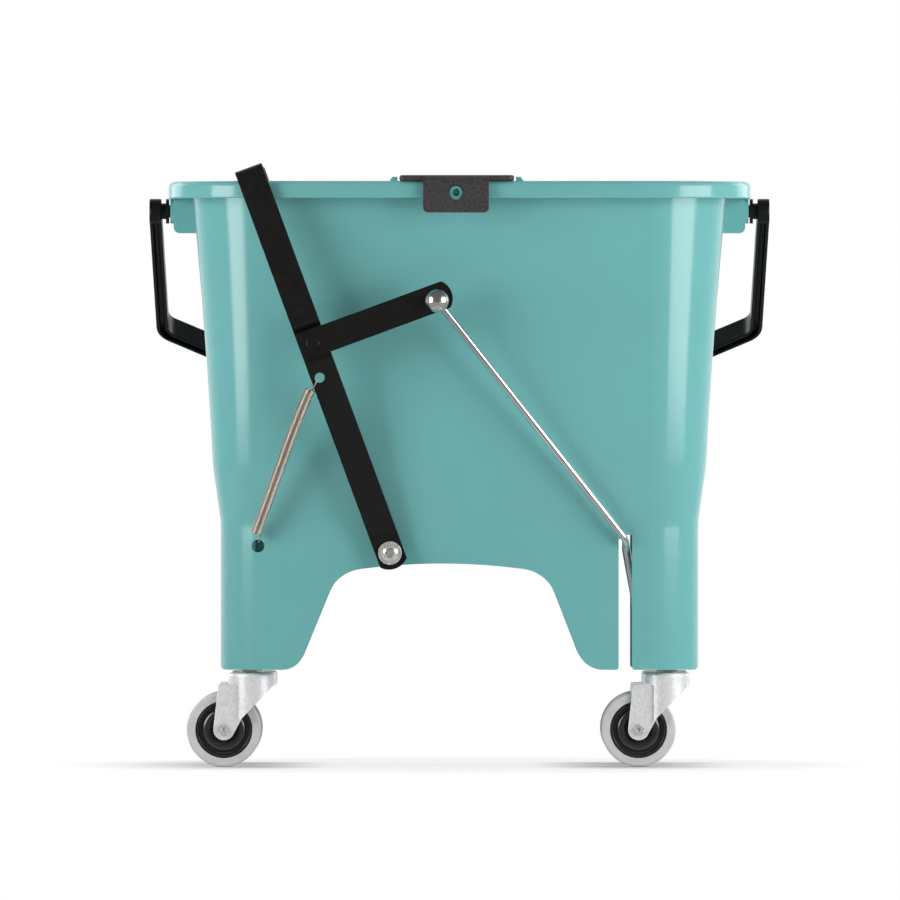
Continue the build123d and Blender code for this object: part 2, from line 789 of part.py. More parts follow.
# Pedal rod: one bent wire from arm to arm, through both slots
arm_pin = side_plane(0, lever_tilt).from_local_coords((pin_reach, pin_along, 0))
front_points = [
    (arm_pin.X, -rod_tip_out, arm_pin.Z),
    (arm_pin.X, -rod_bend_out, arm_pin.Z),
    (slot_bend[0], -slot_bend[1], slot_bend[2]),
    (foot_bend[0], -foot_bend[1], foot_bend[2]),
]
back_points = [(x, -y, z) for x, y, z in reversed(front_points)]
with BuildPart() as pedal_rod:
    with BuildLine() as rod_route:
        FilletPolyline(*front_points, *back_points, radius=(*rod_bends, *reversed(rod_bends)))
    with BuildSketch(Plane(origin=rod_route.line @ 0, z_dir=rod_route.line % 0)):
        Circle(rod_radius)
    sweep()
save(pedal_rod, "pedal_rod")

# Domed push-on caps on the ends of the rod
cap_start = arm_back + strap_thickness + turning_gap
with BuildPart() as rod_caps:
    with BuildSketch(Plane(origin=(arm_pin.X, 0, arm_pin.Z), x_dir=(1, 0, 0), z_dir=(0, 0, -1))):
        dome_start = cap_start + head_edge
        dome_end = cap_start + cap_height
        with BuildLine():
            Polyline((0, dome_end), (0, cap_start), (cap_radius, cap_start), (cap_radius, dome_start))
            ThreePointArc(
                (cap_radius, dome_start), dome_middle(cap_radius, dome_start, dome_end), (0, dome_end)
            )
        make_face()
    revolve(axis=Axis((arm_pin.X, 0, arm_pin.Z), (0, 1, 0)))
    with BuildSketch(side_plane(cap_start)):
        with Locations((arm_pin.X, arm_pin.Z)):
            Circle(rod_radius + fixed_gap)
    extrude(amount=cap_bore_depth, mode=Mode.SUBTRACT)
    mirror(about=Plane.XZ)
save(rod_caps, "rod_caps")

# Pedal tread, pushed over the cross bar of the rod
tread_turn = radians(tread_tilt)
tread_plane = Plane(
    origin=(foot_bend[0], 0, foot_bend[2]),
    x_dir=(cos(tread_turn), 0, sin(tread_turn)),
    z_dir=(0, -1, 0),
)
with BuildPart() as pedal_tread:
    with BuildSketch(tread_plane) as tread_section:
        with Locations(((tread_ahead - tread_behind) / 2, 0)):
            RectangleRounded(tread_ahead + tread_behind, tread_thickness, 3.0)
        rib_pitch = (tread_ahead + tread_behind) / (tread_rib_count + 1)
        for rib in range(tread_rib_count):
            with Locations((rib_pitch * (rib + 1) - tread_behind, tread_thickness / 2)):
                Rectangle(rib_pitch / 2, 2 * tread_rib)
        Circle(rod_radius + fixed_gap, mode=Mode.SUBTRACT)
    extrude(amount=tread_half_width, both=True)
save(pedal_tread, "pedal_tread")


def biarc(start, start_way, end, end_way):
    """Two arcs that leave start and reach end in the given directions."""
    span = end - start
    ways = start_way + end_way
    turn = 4 - ways.dot(ways)
    lead = span.dot(ways)
    if turn < 1e-9:
        leg = span.dot(span) / (2 * lead)
    else:
        leg = (sqrt(lead * lead + turn * span.dot(span)) - lead) / turn
    first = start + start_way * leg
    second = end - end_way * leg
    middle = (first + second) * 0.5
    TangentArc(start, middle, tangent=start_way)
    TangentArc(middle, end, tangent=second - first)


# Return spring, one wire: hook, close coil, hook
upper = Vector(upper_hook[0], -upper_hook[1], upper_hook[2])
lower = Vector(lower_hook[0], -lower_hook[1], lower_hook[2])
coil_start = Vector(coil_top[0], -coil_top[1], coil_top[2])
coil_end = Vector(coil_bottom[0], -coil_bottom[1], coil_bottom[2])
outwards = Vector(0, -1, 0)
spring_way = (coil_end - coil_start).normalized()
upper_way = (coil_start - upper).normalized()
lower_way = (lower - coil_end).normalized()
coil_length = (coil_end - coil_start).length
first_arm = spring_way.cross(outwards).normalized()
second_arm = spring_way.cross(first_arm)


def coil_node(half_turns):
    """Place and direction on the coil after a number of half turns."""
    angle = pi * half_turns
    share = half_turns / (2 * coil_turns)
    rise = coil_length / (2 * pi * coil_turns)
    around = first_arm * cos(angle) + second_arm * sin(angle)
    ahead = second_arm * cos(angle) - first_arm * sin(angle)
    place = coil_start + spring_way * (coil_length * share) + around * coil_radius
    way = (ahead * coil_radius + spring_way * rise).normalized()
    return place, way


with BuildPart() as spring:
    with BuildLine() as spring_route:
        hook_tip = Vector(upper.X, -upper_hook_end, upper.Z)
        Line(hook_tip, upper - outwards * hook_bend)
        biarc(upper - outwards * hook_bend, outwards, upper + upper_way * hook_bend, upper_way)
        place, way = coil_node(0)
        biarc(upper + upper_way * hook_bend, upper_way, place, way)
        for half_turn in range(2 * coil_turns):
            next_place, next_way = coil_node(half_turn + 1)
            biarc(place, way, next_place, next_way)
            place, way = next_place, next_way
        biarc(place, way, lower - lower_way * hook_bend, lower_way)
        biarc(lower - lower_way * hook_bend, lower_way, lower - outwards * hook_bend, -outwards)
        Line(lower - outwards * hook_bend, Vector(lower.X, -lower_hook_end, lower.Z))
    with BuildSketch(Plane(origin=spring_route.line @ 0, z_dir=spring_route.line % 0)):
        Circle(wire / 2)
    sweep()
save_pair(spring, "spring")

# Least gap of the spring wire to itself, measured on points one fifth of a wire apart
spring_wire = spring_route.wires()[0]
point_count = ceil(spring_wire.length / (wire / 5))
points = spring_wire.positions([index / point_count for index in range(point_count + 1)])
near = ceil(pi * wire / (wire / 5))
far = ceil(2.5 * 2 * pi * coil_radius / (wire / 5))
least = min(
    (points[index] - points[other]).length
    for index in range(len(points))
    for other in range(index + near, min(index + far, len(points)))
)
print(f"spring wire {spring_wire.length:.1f} mm, least gap to itself {least - wire:.2f} mm")

# Carry handle: arms, sloping shoulders and grip in one I-shaped bar
slant = radians(handle_slant)
handle_plane = Plane(origin=(0, 0, handle_z), x_dir=(1, 0, 0), z_dir=(0, -cos(slant), -sin(slant)))
half_route = [
    (handle_arm_x, 0),
    (handle_arm_low[0], -handle_arm_low[1]),
    (handle_grip[0], -handle_grip[1]),
]
with BuildPart() as carry_handle:
    with BuildLine(handle_plane) as handle_route:
        FilletPolyline(
            *half_route,
            *[(-x, y) for x, y in reversed(half_route)],
            radius=(*handle_bends, *reversed(handle_bends)),
        )
    with BuildSketch(
        Plane(origin=handle_route.line @ 0, x_dir=handle_plane.z_dir, z_dir=handle_route.line % 0)
    ) as handle_section:
        Rectangle(handle_depth, handle_width)
        groove = (handle_depth - handle_web) / 2
        with Locations(((handle_depth - groove) / 2, 0), ((groove - handle_depth) / 2, 0)):
            Rectangle(groove, handle_width - 2 * handle_flange, mode=Mode.SUBTRACT)
        fillet(handle_section.vertices(), handle_edge)
    sweep()
    # Closed grip in the middle
    grip_place = handle_plane.from_local_coords((-handle_grip_half, -handle_grip[1], 0))
    with BuildSketch(Plane(origin=grip_place, x_dir=handle_plane.z_dir, z_dir=(1, 0, 0))):
        RectangleRounded(handle_depth + 2, handle_width + 2, 4.0)
    extrude(amount=2 * handle_grip_half)
    # Ribbed stub axles at both ends
    for side in (-1, 1):
        sections = [
            (axle_end + turning_gap, axle_flange_in, axle_radius),
            (axle_flange_in, axle_flange_out, lug_boss_radius),
            (axle_flange_out, handle_arm_x, axle_neck_radius),
        ]
        for start, end, radius in sections:
            with BuildSketch(Plane(origin=(side * start, 0, handle_z), z_dir=(side, 0, 0))):
                Circle(radius)
            extrude(amount=end - start)
        head_plane = Plane(origin=(side * handle_arm_x, 0, handle_z), x_dir=(1, 0, 0), z_dir=(0, -1, 0))
        with BuildSketch(head_plane) as arm_head:
            Rectangle(handle_width, lug_boss_radius, align=(Align.CENTER, Align.MIN))
            fillet(arm_head.vertices().group_by(Axis.Y)[-1], handle_edge)
        revolve(axis=Axis((0, 0, handle_z), (1, 0, 0)))
save(carry_handle, "carry_handle")


def ring(x, y, inner, outer, bottom, top, mode=Mode.ADD):
    """Upright ring, or a disc where inner is zero, added to the piece in hand or cut from it."""
    with BuildSketch(Plane(origin=(x, y, bottom))) as flat:
        Circle(outer)
        if inner > 0:
            Circle(inner, mode=Mode.SUBTRACT)
    extrude(flat.sketch, amount=top - bottom, mode=mode)


def wheel_ring(x, y, outline, bends=()):
    """Face of a wheel piece from (radius, half width) points, on a plane through the axle."""
    plane = Plane(origin=(x, y, wheel_radius), x_dir=(1, 0, 0), z_dir=(0, 0, 1))
    mirrored = [(radius, -half) for radius, half in reversed(outline)]
    with BuildSketch(plane) as face:
        with BuildLine():
            Polyline(*outline, *mirrored, close=True)
        make_face()
        for radius, half, bend in bends:
            for side in (-1, 1):
                fillet(face.vertices().sort_by_distance((radius, side * half, 0))[0], bend)
    return face.sketch


def caster(x, y, name):
    """One swivel caster below a leg: stem, race, balls, fork, axle, hub and tyre."""
    with BuildPart() as stem:
        ring(x, y, 0, stem_radius, stem_bottom, stem_top)
        ring(x, y, 0, collar_radius, collar_bottom, leg_bottom)
        ring(x, y, 0, stem_head_radius, stem_bottom, stem_head_top)
        chamfer(stem.edges().group_by(Axis.Z)[-1], 1.0)
    save(stem, f"caster_stem_{name}")

    with BuildPart() as race:
        ring(x, y, stem_radius + fixed_gap, race_radius, stem_head_top, race_top)
    save(race, f"caster_race_{name}")

    with BuildPart() as balls:
        with Locations((x, y, ball_z)):
            with PolarLocations(ball_ring, ball_count):
                Sphere(ball_radius)
    save(balls, f"caster_balls_{name}")

    axle_x = x - trail
    plane = Plane(origin=(x, y, 0), x_dir=(1, 0, 0), z_dir=(0, -1, 0))
    with BuildPart() as web:
        ring(x, y, fork_head_radius - cheek, fork_head_radius, wheel_radius, fork_top)
        with BuildSketch(plane):
            with BuildLine():
                Polyline(*web_corners, close=True)
            make_face()
        extrude(amount=2 * fork_head_radius, both=True, mode=Mode.INTERSECT)
    with BuildPart() as cheeks:
        for start in (cheek_in, -cheek_in - cheek):
            with BuildSketch(plane.offset(start)):
                with BuildLine():
                    CenterArc((-trail, wheel_radius), cheek_end_radius, 0, 360)
                    Polyline(*cheek_corners)
                make_hull()
                with Locations((-trail, wheel_radius)):
                    Circle(pin_radius + fixed_gap, mode=Mode.SUBTRACT)
            extrude(amount=cheek)
        cheek_edges = cheeks.edges().group_by(Axis.Y)
        outline_edges = (cheek_edges[0] + cheek_edges[-1]).filter_by(
            lambda edge: edge.geom_type != GeomType.CIRCLE or edge.radius > pin_head_radius
        )
        fillet(outline_edges, cheek_edge)
    with BuildPart() as fork:
        ring(x, y, 0, fork_head_radius, fork_head_bottom, fork_top)
        fillet(fork.edges().group_by(Axis.Z)[-1], fork_dome)
        ring(x, y, 0, fork_head_radius - cheek, fork_head_bottom, fork_top - fork_plate, Mode.SUBTRACT)
        ring(x, y, 0, stem_radius + running_gap, fork_head_bottom, fork_top, Mode.SUBTRACT)
        add(web.part)
        add(cheeks.part)
    save(fork, f"caster_fork_{name}")

    axle_line = Axis((axle_x, y, wheel_radius), (0, 1, 0))
    pin_head = pin_half_length - cheek_in - cheek
    with BuildPart() as axle:
        outline = [
            (0, pin_half_length - pin_head),
            (pin_dish / 2, pin_half_length - pin_head),
            (pin_dish, pin_half_length),
            (pin_head_radius - 0.6, pin_half_length),
            (pin_head_radius, pin_half_length - 0.6),
            (pin_head_radius, pin_half_length - pin_head),
            (pin_radius, pin_half_length - pin_head),
        ]
        revolve(wheel_ring(axle_x, y, outline).faces(), axis=axle_line)
    save(axle, f"caster_axle_{name}")

    bore = pin_radius + running_gap
    with BuildPart() as hub:
        outline = [(bore, hub_outline[0][1]), *hub_outline, (tyre_inner - fixed_gap, hub_outline[-1][1])]
        revolve(wheel_ring(axle_x, y, outline, hub_bends).faces(), axis=axle_line)
    save(hub, f"wheel_hub_{name}")

    with BuildPart() as tyre:
        outline = [(tyre_inner, tyre_half_width), (wheel_radius, tyre_half_width)]
        revolve(wheel_ring(axle_x, y, outline).faces(), axis=axle_line)
        edges = tyre.edges().filter_by(GeomType.CIRCLE)
        fillet(edges.filter_by(lambda edge: edge.radius > tyre_inner + 1), tyre_round)
    save(tyre, f"tyre_{name}")


for x, y in caster_places:
    side = "front" if y < 0 else "back"
    end = "left" if x < 0 else "right"
    caster(x, y, f"{side}_{end}")
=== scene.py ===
import json
from math import cos, pi, radians, sin

import bpy
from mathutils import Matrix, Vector


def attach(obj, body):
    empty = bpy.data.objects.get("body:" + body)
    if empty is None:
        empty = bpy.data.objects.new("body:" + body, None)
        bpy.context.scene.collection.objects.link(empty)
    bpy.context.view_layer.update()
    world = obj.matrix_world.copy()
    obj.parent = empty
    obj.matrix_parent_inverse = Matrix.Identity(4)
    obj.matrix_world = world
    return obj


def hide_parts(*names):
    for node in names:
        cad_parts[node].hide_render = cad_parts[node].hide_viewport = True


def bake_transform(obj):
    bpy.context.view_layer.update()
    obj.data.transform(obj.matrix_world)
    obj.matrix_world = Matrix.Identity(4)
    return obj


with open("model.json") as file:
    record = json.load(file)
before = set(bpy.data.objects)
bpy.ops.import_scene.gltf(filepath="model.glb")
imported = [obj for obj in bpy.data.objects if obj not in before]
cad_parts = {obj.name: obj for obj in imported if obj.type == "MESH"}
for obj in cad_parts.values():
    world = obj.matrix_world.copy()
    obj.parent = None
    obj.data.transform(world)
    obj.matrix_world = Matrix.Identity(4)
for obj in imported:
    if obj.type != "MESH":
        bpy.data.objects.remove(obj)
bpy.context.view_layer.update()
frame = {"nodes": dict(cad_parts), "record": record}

# Mop bucket with a press wringer: finishes, rounded steel and wound springs over the solid model.
# Metres, in the frame of the solid model: X along the tub, -Y the working side, Z up.

# Camera: level with the middle of the photograph, far off, as with a long lens
camera_far = 18.0
camera_x = -0.00665
camera_z = 0.2219
camera_reach = 60.0
view_width = 0.63
skirt_front = 0.1035
sensor = 36.0

# Rounded edges, and the angles that tell an edge from a face
steel_edge = 0.0006
jaw_edge = 0.0005
tread_edge = 0.0008
edge_segments = 2
edge_angle = radians(35)
smooth_angle = radians(32)
flat_angle = radians(0.6)
merge_distance = 0.000002

# Return springs, on the same line as their solids
wire_radius = 0.00044
wire_sides = 8
coil_radius = 0.00335
coil_pitch = 0.00096
coil_steps = 18
coil_last_part = 0.25
coil_curl = Vector((-0.0098, 0.0042, -0.0190))
coil_top = Vector((-0.1041, -0.1406, 0.2640))
coil_bottom = Vector((-0.1424, -0.1094, 0.1636))

# Hooks of the springs: corner, far end, and how far the wire runs straight or bends
upper_hook = Vector((-0.0992, -0.1422, 0.2707))
lower_hook = Vector((-0.1406, -0.1075, 0.1572))
upper_hook_end = -0.1310
lower_hook_end = -0.0965
hook_bend = 0.0024
hook_corner = 0.45 * hook_bend
hook_ease = 0.002
upper_shank = 0.004
upper_run = 0.005
upper_meet = 0.003
lower_run = 0.004
lower_shank = 0.006
hook_roundness = 4
hook_smoothness = 16

# Studio floor: shadow round the casters, white further out
floor_radius = 1.5
floor_sides = 96
floor_grey = (0.69, 0.69, 0.69)
floor_roughness = 0.6
caster_x = 0.14525
caster_y = 0.08125
caster_trail = 0.0198
shadow_near = 0.018
shadow_far = 0.085
shadow_depth = 0.45
floor_white_near = 0.0
floor_white_far = 0.75
floor_fade_near = 0.15
floor_fade_far = 0.30
floor_fade_depth = 0.6
floor_mirrored = 0.3

# Studio light
room_light = 0.12
backdrop_light = 0.8
backdrop_low = 0.2
backdrop_high = 0.85
light_aim = 0.38

# Span of a noise pattern over which a finish changes
pattern_low = 0.3
pattern_high = 0.7

bodies = frame["record"]["behaviour"]["bodies"]
body_of_node = {node: body for body, nodes in bodies.items() for node in nodes}
slot_of_node = {row["node"]: row["material_slot"] for row in frame["record"]["subparts"]}


def deselect_all():
    """Leave nothing selected."""
    bpy.ops.object.select_all(action="DESELECT")


def pick(piece):
    """Make one piece the selected and active one."""
    deselect_all()
    piece.select_set(True)
    bpy.context.view_layer.objects.active = piece


def apply_all(piece):
    """Apply the modifiers of a piece in their order."""
    pick(piece)
    for modifier in list(piece.modifiers):
        bpy.ops.object.modifier_apply(modifier=modifier.name)


def new_finish(name, colour, roughness, metallic=0.0):
    """Node material with one shader; colour is linear."""
    material = bpy.data.materials.new(name)
    material.use_nodes = True
    tree = material.node_tree
    shader = tree.nodes["Principled BSDF"]
    shader.inputs["Base Color"].default_value = (*colour, 1)
    shader.inputs["Roughness"].default_value = roughness
    shader.inputs["Metallic"].default_value = metallic
    return material, tree, shader


def noise(tree, scale, detail=3.0):
    """Noise on the piece's own coordinates, scale in patches per metre."""
    place = tree.nodes.new("ShaderNodeTexCoord")
    texture = tree.nodes.new("ShaderNodeTexNoise")
    texture.inputs["Scale"].default_value = scale
    texture.inputs["Detail"].default_value = detail
    tree.links.new(place.outputs["Object"], texture.inputs["Vector"])
    return texture.outputs["Fac"]


def vary_colour(tree, shader, pattern, colour, dark, light):
    """Let a pattern move the base colour between a darker and a lighter shade of it."""
    ramp = tree.nodes.new("ShaderNodeValToRGB")
    low, high = ramp.color_ramp.elements
    low.position = pattern_low
    high.position = pattern_high
    low.color = (*(channel * dark for channel in colour), 1)
    high.color = (*(channel * light for channel in colour), 1)
    tree.links.new(pattern, ramp.inputs["Fac"])
    tree.links.new(ramp.outputs["Color"], shader.inputs["Base Color"])


def vary_roughness(tree, shader, pattern, roughness, smooth, rough):
    """Let a pattern move the roughness between a smoother and a rougher share of it."""
    spread = tree.nodes.new("ShaderNodeMapRange")
    spread.inputs["From Min"].default_value = pattern_low
    spread.inputs["From Max"].default_value = pattern_high
    spread.inputs["To Min"].default_value = roughness * smooth
    spread.inputs["To Max"].default_value = roughness * rough
    tree.links.new(pattern, spread.inputs["Value"])
    tree.links.new(spread.outputs["Result"], shader.inputs["Roughness"])


def add_grain(tree, shader, pattern, height, strength):
    """Fine relief, height in metres."""
    bump = tree.nodes.new("ShaderNodeBump")
    bump.inputs["Distance"].default_value = height
    bump.inputs["Strength"].default_value = strength
    tree.links.new(pattern, bump.inputs["Height"])
    tree.links.new(bump.outputs["Normal"], shader.inputs["Normal"])


def maths(tree, operation, first, second):
    """One arithmetic node; each side is a socket or a number."""
    node = tree.nodes.new("ShaderNodeMath")
    node.operation = operation
    for socket, value in zip(node.inputs, (first, second)):
        if isinstance(value, (int, float)):
            socket.default_value = value
        else:
            tree.links.new(value, socket)
    return node.outputs["Value"]


def ramp_value(tree, value, low, high, at_low, at_high):
    """Smooth change from one number to another over a span of the value."""
    spread = tree.nodes.new("ShaderNodeMapRange")
    spread.interpolation_type = "SMOOTHSTEP"
    spread.inputs["From Min"].default_value = low
    spread.inputs["From Max"].default_value = high
    spread.inputs["To Min"].default_value = at_low
    spread.inputs["To Max"].default_value = at_high
    tree.links.new(value, spread.inputs["Value"])
    return spread.outputs["Result"]


def moulded_plastic(name, colour, roughness, gloss=0.5, grain=0.2):
    """Injection-moulded plastic: faint flow clouds and a fine moulded grain."""
    material, tree, shader = new_finish(name, colour, roughness)
    shader.inputs["Specular IOR Level"].default_value = gloss
    clouds = noise(tree, scale=9.0)
    patches = noise(tree, scale=60.0)
    pores = noise(tree, scale=1400.0, detail=2.0)
    vary_colour(tree, shader, clouds, colour, dark=0.97, light=1.03)
    vary_roughness(tree, shader, patches, roughness, smooth=0.9, rough=1.12)
    add_grain(tree, shader, pores, height=0.00004, strength=grain)
    return material


def powder_coat(name, colour, roughness, gloss, grain):
    """Baked powder paint: orange-peel texture and specks that catch the light."""
    material, tree, shader = new_finish(name, colour, roughness)
    shader.inputs["Specular IOR Level"].default_value = gloss
    specks = noise(tree, scale=700.0, detail=4.0)
    patches = noise(tree, scale=300.0)
    orange_peel = noise(tree, scale=1100.0)
    vary_colour(tree, shader, specks, colour, dark=0.55, light=1.9)
    vary_roughness(tree, shader, patches, roughness, smooth=0.85, rough=1.2)
    add_grain(tree, shader, orange_peel, height=0.0002, strength=grain)
    return material


def bright_metal(name, colour, roughness):
    """Drawn or polished metal with a faintly uneven polish."""
    material, tree, shader = new_finish(name, colour, roughness, metallic=1.0)
    polish = noise(tree, scale=500.0)
    tarnish = noise(tree, scale=40.0)
    vary_roughness(tree, shader, polish, roughness, smooth=0.7, rough=1.4)
    vary_colour(tree, shader, tarnish, colour, dark=0.94, light=1.04)
    return material


def zinc_plate(name, colour, roughness, metallic):
    """Zinc-plated pressed steel: cloudy grain and uneven sheen."""
    material, tree, shader = new_finish(name, colour, roughness, metallic)
    crystals = noise(tree, scale=420.0, detail=5.0)
    sheen = noise(tree, scale=420.0, detail=4.0)
    pits = noise(tree, scale=900.0)
    vary_colour(tree, shader, crystals, colour, dark=0.88, light=1.05)
    vary_roughness(tree, shader, sheen, roughness, smooth=0.88, rough=1.15)
    add_grain(tree, shader, pits, height=0.00004, strength=0.12)
    return material


def soft_rubber(name, colour, roughness):
    """Rubber: matt, dusty and slightly uneven."""
    material, tree, shader = new_finish(name, colour, roughness)
    dust = noise(tree, scale=120.0, detail=4.0)
    patches = noise(tree, scale=200.0)
    pores = noise(tree, scale=1300.0, detail=2.0)
    vary_colour(tree, shader, dust, colour, dark=0.92, light=1.06)
    vary_roughness(tree, shader, patches, roughness, smooth=0.92, rough=1.1)
    add_grain(tree, shader, pores, height=0.00008, strength=0.3)
    return material


# Finishes by material slot of the record, then those of single nodes
teal = (0.150, 0.418, 0.412)
soot = (0.0042, 0.0038, 0.0034)
finishes = {
    "tub_plastic": moulded_plastic("teal_moulding", teal, roughness=0.17, gloss=0.39, grain=0.12),
    "black_plastic": moulded_plastic("black_moulding", (0.004, 0.004, 0.0045), roughness=0.36, gloss=0.3),
    "black_steel": powder_coat("black_powder_coat", soot, roughness=0.38, gloss=0.36, grain=0.2),
    "black_rubber": soft_rubber("black_tread_rubber", (0.014, 0.014, 0.014), roughness=0.75),
    "bright_steel": bright_metal("bright_rod", (0.82, 0.82, 0.83), roughness=0.12),
    "zinc_steel": zinc_plate("zinc_plate", (0.92, 0.92, 0.925), roughness=0.32, metallic=0.36),
    "spring_steel": bright_metal("spring_wire", (0.64, 0.56, 0.49), roughness=0.4),
    "jaw_plastic": moulded_plastic("grey_jaw_moulding", (0.36, 0.37, 0.38), roughness=0.45),
    "hub_plastic": moulded_plastic("hub_moulding", (0.015, 0.015, 0.0155), roughness=0.28, gloss=0.75),
    "tyre_rubber": soft_rubber("grey_tyre", (0.57, 0.57, 0.57), roughness=0.55),
}
# The hanger brackets get a copy of the black powder coat that is rougher, as their matt coat is, and
# lighter in colour: the lighter colour is painted sheen, light the brackets catch, not a paint of their
# own.
bracket_painted_lighter_grey = (0.036, 0.033, 0.035)
bracket_coat = powder_coat("bracket_powder_coat_painted_lighter", bracket_painted_lighter_grey, roughness=0.5, gloss=0.4, grain=0.35)
nickel_plate = bright_metal("nickel_plate", (0.82, 0.78, 0.73), roughness=0.2)
screw_plate = zinc_plate("screw_plate", (0.78, 0.75, 0.71), roughness=0.26, metallic=0.55)
own_finishes = {
    "hanger_bracket_front": bracket_coat,
    "hanger_bracket_back": bracket_coat,
    "pivot_screws": screw_plate,
    "rod_caps": nickel_plate,
}
for corner in ("front_left", "front_right", "back_left", "back_right"):
    own_finishes[f"caster_axle_{corner}"] = screw_plate


def coat(piece, node):
    """Give a piece the finish of the node that it is or stands for."""
    piece.data.materials.clear()
    piece.data.materials.append(own_finishes.get(node, finishes[slot_of_node[node]]))


for node, solid in frame["nodes"].items():
    coat(solid, node)


def rounded(node, width, split=False):
    """The node's shape with its sharp edges rounded off, as tumbled or moulded edges are."""
    piece = bpy.data.objects.new(f"{node}_rounded", frame["nodes"][node].data.copy())
    bpy.context.scene.collection.objects.link(piece)
    pick(piece)
    bpy.ops.mesh.customdata_custom_splitnormals_clear()
    bpy.ops.object.mode_set(mode="EDIT")
    bpy.ops.mesh.select_all(action="SELECT")
    bpy.ops.mesh.remove_doubles(threshold=merge_distance)
    bpy.ops.mesh.dissolve_limited(angle_limit=flat_angle)
    if split:
        bpy.ops.mesh.quads_convert_to_tris(quad_method="BEAUTY", ngon_method="BEAUTY")
    bpy.ops.object.mode_set(mode="OBJECT")
    edge = piece.modifiers.new("edge", "BEVEL")
    edge.width = width
    edge.segments = edge_segments
    edge.limit_method = "ANGLE"
    edge.angle_limit = edge_angle
    edge.use_clamp_overlap = False
    edge.miter_outer = "MITER_ARC"
    apply_all(piece)
    bpy.ops.object.shade_smooth_by_angle(angle=smooth_angle)
    flat = piece.modifiers.new("flat", "WEIGHTED_NORMAL")
    flat.keep_sharp = True
    apply_all(piece)
    coat(piece, node)
    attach(piece, body_of_node[node])
    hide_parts(node)


for side in ("front", "back"):
    rounded(f"lever_{side}", steel_edge)
    rounded(f"arm_{side}", steel_edge)
rounded("fixed_jaw", jaw_edge)
rounded("moving_jaw", jaw_edge, split=True)
rounded("pedal_tread", tread_edge)


def wire_run(name, knots, thickness):
    """Wire through knots, each a place with its incoming and outgoing handle."""
    deselect_all()
    bpy.ops.curve.primitive_bezier_curve_add()
    run = bpy.context.object
    run.name = name
    spline = run.data.splines[0]
    spline.bezier_points.add(len(knots) - 2)
    for knot, (place, before, after) in zip(spline.bezier_points, knots):
        knot.handle_left_type = "FREE"
        knot.handle_right_type = "FREE"
        knot.co = place
        knot.handle_left = before
        knot.handle_right = after
    run.data.bevel_depth = thickness
    run.data.bevel_resolution = hook_roundness
    run.data.resolution_u = hook_smoothness
    run.data.use_fill_caps = True
    return run


def wound_coil(node, path):
    """Close-wound coil along a path."""
    length = path.data.splines[0].calc_length()
    turns = round(length / coil_pitch)
    deselect_all()
    bpy.ops.mesh.primitive_circle_add(
        vertices=wire_sides, radius=wire_radius, location=(0, -coil_radius, 0)
    )
    coil = bpy.context.object
    coil.name = f"{node}_wound"
    bpy.ops.object.transform_apply(location=True, rotation=True, scale=True)
    winding = coil.modifiers.new("winding", "SCREW")
    winding.axis = "X"
    winding.angle = 2 * pi * (1 + coil_last_part / turns)
    winding.screw_offset = length / turns
    winding.iterations = turns
    winding.steps = coil_steps
    winding.render_steps = coil_steps
    winding.use_merge_vertices = True
    bend = coil.modifiers.new("bend", "CURVE")
    bend.object = path
    bend.deform_axis = "POS_X"
    apply_all(coil)
    return coil


def return_spring(node, side):
    """Spring between the lever and the skirt, with a hook at each end."""
    flip = Vector((1, side, 1))
    upper = upper_hook * flip
    lower = lower_hook * flip
    top = coil_top * flip
    bottom = coil_bottom * flip
    curl = coil_curl * flip
    inwards = Vector((0, side, 0))
    third = (bottom - top) / 3
    axis_knots = [
        (top, top - curl, top + curl),
        (bottom, bottom - third, bottom + third),
    ]
    path = wire_run(f"{node}_line", axis_knots, 0)
    coil = wound_coil(node, path)
    bpy.data.objects.remove(path)
    rings = [vertex.co.copy() for vertex in coil.data.vertices]
    first = sum(rings[:wire_sides], Vector()) / wire_sides
    last = sum(rings[-wire_sides:], Vector()) / wire_sides
    upper_way = (first - upper).normalized()
    lower_way = (lower - last).normalized()
    upper_end = Vector((upper.x, side * upper_hook_end, upper.z))
    lower_end = Vector((lower.x, side * lower_hook_end, lower.z))
    hook_back = hook_bend + hook_ease
    upper_knots = [
        (upper_end, upper, upper + inwards * upper_shank),
        (upper + inwards * hook_bend, upper + inwards * hook_back, upper + inwards * hook_corner),
        (upper + upper_way * hook_bend, upper + upper_way * hook_corner, upper + upper_way * upper_run),
        (first, first - upper_way * upper_meet, first + upper_way * hook_ease),
    ]
    lower_knots = [
        (last, last - lower_way * hook_ease, last + lower_way * hook_ease),
        (lower - lower_way * hook_bend, lower - lower_way * lower_run, lower - lower_way * hook_corner),
        (lower + inwards * hook_bend, lower + inwards * hook_corner, lower + inwards * hook_back),
        (lower_end, lower + inwards * lower_shank, lower),
    ]
    hooks = [
        wire_run(f"{node}_hook_top", upper_knots, wire_radius),
        wire_run(f"{node}_hook_bottom", lower_knots, wire_radius),
    ]
    for hook in hooks:
        pick(hook)
        bpy.ops.object.convert(target="MESH")
    pick(coil)
    for hook in hooks:
        hook.select_set(True)
    bpy.ops.object.join()
    bpy.ops.object.mode_set(mode="EDIT")
    bpy.ops.mesh.select_all(action="SELECT")
    bpy.ops.mesh.normals_make_consistent(inside=False)
    bpy.ops.object.mode_set(mode="OBJECT")
    bpy.ops.object.shade_smooth()
    coat(coil, node)
    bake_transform(coil)
    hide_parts(node)


return_spring("spring_front", 1)
return_spring("spring_back", -1)


